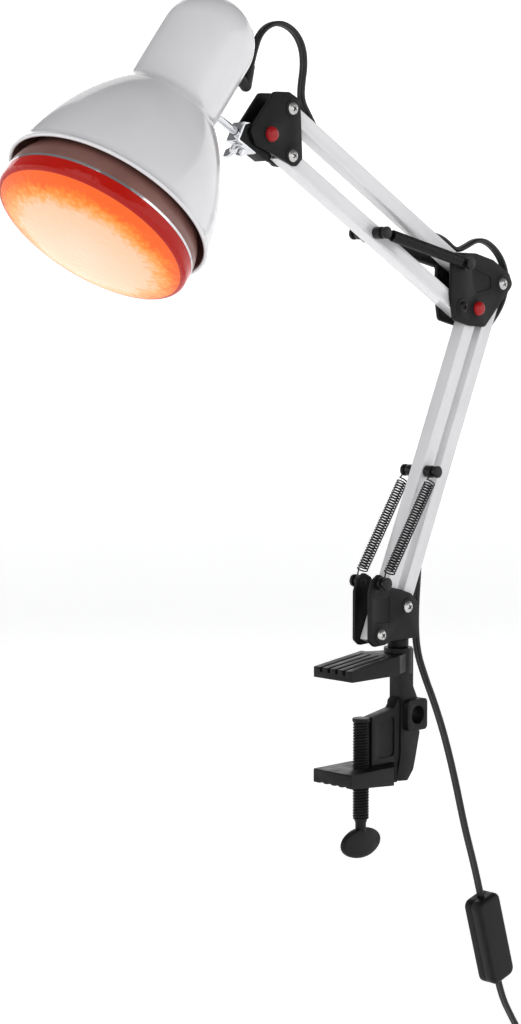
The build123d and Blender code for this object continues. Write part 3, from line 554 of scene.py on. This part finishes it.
def paint_rings(mesh, index, chosen):
    """Gives a turned mesh's faces another material where chosen(radius, height) of the centre says so."""
    back = SHADE_FRAME.inverted()
    for face in mesh.polygons:
        spot = back @ face.center
        if chosen(hypot(spot.x, spot.y), spot.z):
            face.material_index = index


def make_shade():
    outside = shade_profile(0)
    inside = shade_profile(SHADE_WALL)[::-1]
    bead = [(RIM_R - 0.3 + BEAD_R * cos(a), RIM_START + 1.0 + BEAD_R * sin(a))
            for a in (radians(160 + 26 * k) for k in range(11))]
    sides = 144
    mesh = lathe("shade_bell", inside + bead + outside, SHADE_FRAME, sides, closed=False, sharp=60)
    mesh.materials.append(MATERIALS["white_enamel"])
    mesh.materials.append(SHADE_INSIDE_PAINTED_SHADE)
    # The inner faces get the reddish-brown painted shade and painted red lamp light.
    for face in mesh.polygons[:(len(inside) - 1) * sides]:
        face.material_index = 1
    piece = add_object("shade_bell", mesh, "white_enamel")
    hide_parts("shade")
    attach(piece, "head")


def make_lamp():
    front = arc_through((0, -28), (36, -25.4), (61.2, -19.6), 24)
    edge = arc_through((61.2, -19.6), (63.2, -18.6), (64.0, -16.8), 6)
    ring = [(64.0, -14.0), (63.9, -10.5), (61.5, -10.5)]
    back = arc_through((59.5, -17.5), (34, -22.7), (0, -25.5), 16)
    profile = [(0.0, -28.0)] + front[1:] + edge[1:] + ring + back[:-1] + [(0.0, -25.5)]
    mesh = lathe("lamp_glass_face", profile, SHADE_FRAME, 144)
    mesh.materials.append(MATERIALS["red_glass"])
    mesh.materials.append(RED_RING)
    paint_rings(mesh, 1, lambda radius, height: radius > 61.0)
    piece = add_object("lamp_glass_face", mesh, "red_glass")
    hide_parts("lamp_face")
    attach(piece, "head")
    shoulder = arc_through((64.0, -10.4), (63.4, -3.0), (60.2, 5.0), 10)
    cone = [(51, 24), (39, 48), (28.5, 70), (20.5, 90), (17.4, 100), (17, 110)]
    inner = [(14.5, 110), (15.4, 100), (19, 90.6), (26.9, 70.6), (37.4, 48.6), (49.4, 24.6), (62.0, -10.4)]
    mesh = lathe("lamp_silvered_bulb", shoulder + cone + inner, SHADE_FRAME, 144)
    mesh.materials.append(MATERIALS["silvered_glass"])
    # The bulb's back above the silver seam gets the brown painted reflection.
    mesh.materials.append(BULB_BACK_PAINTED_REFLECTION)
    paint_rings(mesh, 1, lambda radius, height: height > -8.4)
    piece = add_object("lamp_silvered_bulb", mesh, "silvered_glass")
    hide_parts("lamp_reflector")
    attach(piece, "head")


make_shade()
make_lamp()


# ---------------------------------------------------------------- balance springs
def spring_line(start, end, y, turns):
    """A hook round the first stud, close coils, and a hook round the second stud."""
    a, b = flat_place(start, y), flat_place(end, y)
    ahead = (b - a).normalized()
    side = ahead.cross(ACROSS)
    hook_r, coil_r = 3.0 * MM, SPRING_COIL_R * MM

    def hook(centre, heading):
        return [centre + heading * hook_r * cos(t) + side * hook_r * sin(t)
                for t in (radians(100 + 20 * k) for k in range(14))]
    body_start, body_end = a + ahead * 8.5 * MM, b - ahead * 8.5 * MM
    run = body_end - body_start
    per_turn = 12
    coil = [body_start + run * (k / (turns * per_turn)) + side * coil_r * cos(2 * pi * k / per_turn)
            + ACROSS * coil_r * sin(2 * pi * k / per_turn) for k in range(turns * per_turn + 1)]
    return hook(a, -ahead) + coil + hook(b, ahead)[::-1]


def make_springs(node, start, end, turns):
    wire = [(SPRING_WIRE_R * MM * cos(2 * pi * k / 6), SPRING_WIRE_R * MM * sin(2 * pi * k / 6))
            for k in range(6)]
    for side, word in ((-1, "near"), (1, "far")):
        line = spring_line(start, end, side * SPRING_Y, turns)
        heading = (flat_place(end) - flat_place(start)).normalized()
        mesh = swept(node + "_" + word, line, wire, lambda i: heading)
        piece = add_object(node + "_" + word, mesh, "black_steel")
        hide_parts(node)
        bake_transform(piece)


make_springs("lower_springs", BASE_SPRING_PIN, along(BASE_FRONT, LOWER_DIR, LOWER_SPRING_BAR), 36)
make_springs("upper_springs", ELBOW_HIGH, along(ELBOW_LOW, UPPER_DIR, UPPER_SPRING_BAR), 62)


# ---------------------------------------------------------------- clamp screw and knob
def make_screw():
    around, rise = 40, 0.25
    rows = int((SCREW_TOP - THREAD_END) / rise) + 1
    corners = []
    for i in range(rows):
        z = THREAD_END + i * rise
        for j in range(around):
            turned = 2 * pi * j / around
            phase = (z / THREAD_PITCH - j / around) % 1.0
            ridge = min(1.0, max(0.0, 1.6 - 3.6 * abs(phase - 0.5)))
            radius = SCREW_R - 0.8 + 0.8 * ridge
            corners.append(place(SCREW_X + radius * cos(turned), radius * sin(turned), z))
    faces = grid_faces(rows, around)
    faces += [tuple(range(around)), tuple(range(len(corners) - around, len(corners)))]
    thread = mesh_from("screw_thread", corners, faces, 50)
    piece = add_object("screw_thread", thread, "black_plastic")
    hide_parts("clamp_screw")
    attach(piece, "screw")
    where = matrix((SCREW_X, 0, 0), (1, 0, 0), (0, 1, 0), (0, 0, 1))
    neck = [(0.0, NECK_END - 1), (3.8, NECK_END - 1), (3.8, -103.0), (4.4, -101.5), (4.4, THREAD_END + 0.2),
            (0.0, THREAD_END + 0.2)]
    piece = add_object("screw_neck", lathe("screw_neck", neck, where, 40), "black_plastic")
    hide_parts("clamp_screw")
    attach(piece, "screw")


def signed_power(value, power):
    return abs(value) ** power * (1 if value >= 0 else -1)


def make_knob():
    """A flat oval paddle with rounded edges and a thicker middle where the screw goes in."""
    rings, around = 28, 56
    centre_z = NECK_END - KNOB_SIZE[2] / 2 + 1.5
    corners = []
    for i in range(rings + 1):
        tip = pi * i / rings - pi / 2
        flat = signed_power(sin(tip), 0.55) * KNOB_SIZE[1] / 2
        reach = max(0.0, cos(tip)) ** 0.32
        for j in range(around):
            turned = 2 * pi * j / around
            x = reach * KNOB_SIZE[0] / 2 * cos(turned)
            z = reach * KNOB_SIZE[2] / 2 * sin(turned)
            hollow = 1.0 - 0.22 * min(1.0, (abs(x) / 13.0) ** 2)
            corners.append(place(SCREW_X + x, flat * hollow, centre_z + z))
    faces = grid_faces(rings + 1, around)
    mesh = mesh_from("knob_paddle", corners, faces)
    shape = bmesh.new()
    shape.from_mesh(mesh)
    bmesh.ops.remove_doubles(shape, verts=shape.verts, dist=1e-6)
    shape.to_mesh(mesh)
    shape.free()
    piece = add_object("knob_paddle", mesh, "black_plastic")
    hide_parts("clamp_knob")
    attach(piece, "screw")


make_screw()
make_knob()


# ---------------------------------------------------------------- bolts with cross-recessed heads
def cross_cutter(where):
    """A tapered cross as a solid in the bolt's own frame, its tip inside the head."""
    solids = []
    for turned in (0, pi / 2):
        c, s = cos(turned), sin(turned)
        corners = []
        for height, long, wide in ((-0.4, 0.9, 0.35), (2.6, 2.5, 0.62)):
            for x, y in ((-long, -wide), (long, -wide), (long, wide), (-long, wide)):
                corners.append(where @ Vector((x * c - y * s, x * s + y * c, height)))
        faces = [(0, 1, 2, 3), (4, 5, 6, 7)] + [(i, (i + 1) % 4, 4 + (i + 1) % 4, 4 + i) for i in range(4)]
        mesh = mesh_from("cutter", corners, faces)
        solids.append(linked("cutter", mesh))
    return solids


def make_bolt(name, centre, body, node, material):
    """A bolt with a cross in its domed head; local Z points out of the head, on the near side."""
    where = matrix((centre[0], -PLATE_OUT - 0.5, centre[1]), (1, 0, 0), (0, 0, 1), (0, -1, 0))
    tip = -BOLT_REACH - PLATE_OUT - 0.5
    head = [(0.0, tip), (PIVOT_R, tip), (PIVOT_R, 0.0), (4.2, 0.0)]
    head += arc_through((4.2, 0.15), (3.2, 1.25), (0.0, 1.8), 12)[:-1] + [(0.0, 1.8)]
    piece = add_object(name, lathe(name, head, where, 40), "zinc_steel", MATERIALS[material])
    turned = where @ Matrix.Rotation(radians(20 + 37 * (centre[0] % 3)), 4, "Z")
    for cutter in cross_cutter(turned):
        cut = piece.modifiers.new("recess", "BOOLEAN")
        cut.object = cutter
        cut.solver = "EXACT"
        bpy.context.view_layer.update()
        ready = bpy.data.meshes.new_from_object(piece.evaluated_get(bpy.context.evaluated_depsgraph_get()))
        piece.modifiers.clear()
        piece.data = ready
        bpy.data.objects.remove(cutter)
    smooth(piece.data, 35)
    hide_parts(node)
    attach(piece, body)


BOLTS = {
    "base_bolts": ("arm_base", {"front": BASE_FRONT, "rear": BASE_REAR}),
    "elbow_bolts": ("elbow", {"front": ELBOW_FRONT, "rear": ELBOW_REAR, "low": ELBOW_LOW}),
    "knuckle_bolts": ("knuckle", {"low": HEAD_LOW, "high": HEAD_HIGH, "tilt": TILT}),
}
for node, (body, centres) in BOLTS.items():
    for word, centre in centres.items():
        make_bolt(node[:-1] + "_" + word, centre, body, node,
                  "black_steel" if centre == ELBOW_LOW else "zinc_steel")


def make_cap(name, centre, body, node):
    """A domed red cap with a shallow step round its foot."""
    where = matrix((centre[0], -PLATE_OUT - 0.5, centre[1]), (1, 0, 0), (0, 0, 1), (0, -1, 0))
    dome = [(5.0, 0.0), (5.0, 0.9), (4.75, 1.1), (4.7, 1.6)]
    dome += arc_through((4.7, 1.7), (3.6, 3.1), (0.0, 3.6), 14)[1:-1] + [(0.0, 3.6)]
    inside = [(0.0, 1.95), (4.25, 1.95), (4.25, 0.0)]
    piece = add_object(name, lathe(name, inside + dome, where, 56), "red_plastic")
    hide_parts(node)
    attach(piece, body)


make_cap("knuckle_cap_dome", TILT, "knuckle", "knuckle_red_cap")
make_cap("elbow_cap_dome", ELBOW_FRONT, "elbow", "elbow_red_cap")


# ---------------------------------------------------------------- CAD pieces with rounded edges
SOFT_EDGES = {
    0.8: ["lower_front_tube", "lower_rear_tube", "upper_lower_tube", "upper_upper_tube"],
    0.5: ["clamp_frame"],
    0.3: ["base_plate_near", "base_plate_far", "elbow_plate_near", "elbow_plate_far", "knuckle_plate_near",
          "knuckle_plate_far", "tilt_block", "switch_front_shell", "switch_back_shell", "switch_rocker",
          "screw_tip_cap", "base_core", "swivel_strap", "wing_bolt", "base_nuts", "elbow_nuts",
          "knuckle_nuts", "base_spring_pins", "elbow_spring_bolt", "lower_front_spring_bar",
          "upper_lower_spring_bar", "base_stem", "cord_gland", "swivel_pin"],
}
for width, nodes in SOFT_EDGES.items():
    for node in nodes:
        softened(node, width)

for node, shown in frame["nodes"].items():
    for material_slot in shown.material_slots:
        material_slot.material = MATERIALS[SLOTS[node]]


# ---------------------------------------------------------------- studio
def make_studio():
    """A round pale floor that curves up into a low wall, well outside every view of the lamp."""
    pale = textured("studio_paper", (0.86, 0.86, 0.86), (0.88, 0.88, 0.88), (0.7, 0.8), patch=2, grain=30)
    shader = pale.node_tree.nodes["Principled BSDF"]
    shader.inputs["Emission Color"].default_value = (1, 1, 1, 1)
    shader.inputs["Emission Strength"].default_value = 0.58
    floor_radius, curve_radius, wall_height, sides = 8.0, 1.5, 4.5, 96
    profile = [(floor_radius + curve_radius * sin(a), curve_radius * (1 - cos(a)))
               for a in (pi / 2 * k / 12 for k in range(13))]
    profile.append((floor_radius + curve_radius, wall_height))
    turns = [2 * pi * k / sides for k in range(sides)]
    corners = [Vector((radius * cos(turn), radius * sin(turn), FLOOR_Z * MM + height))
               for radius, height in profile for turn in turns]
    mesh = mesh_from("studio", corners, grid_faces(len(profile), sides) + [tuple(range(sides))])
    mesh.materials.append(pale)
    linked("studio", mesh)


def add_light(name, location, target, size, power):
    """A square soft light that faces a target."""
    data = bpy.data.lights.new(name, "AREA")
    data.shape = "RECTANGLE"
    data.size = data.size_y = size
    data.energy = power
    light = linked(name, data)
    light.location = location
    light.rotation_euler = (Vector(target) - light.location).to_track_quat("-Z", "Y").to_euler()


def make_world():
    world = bpy.data.worlds.new("studio_air")
    world.use_nodes = True
    air = world.node_tree.nodes["Background"]
    air.inputs["Color"].default_value = (0.97, 0.98, 1.0, 1)
    air.inputs["Strength"].default_value = 0.20
    bpy.context.scene.world = world


make_studio()
make_world()
add_light("key", (-1.6, -0.6, 1.5), (-0.1, 0, 0.2), 1.2, 6)
add_light("fill", (0.6, -1.9, 0.9), (0, 0, 0.1), 1.6, 1.2)
add_light("back", (1.2, 1.5, 1.3), (0, 0, 0.2), 1.5, 6)
bpy.context.scene.view_settings.view_transform = "Standard"
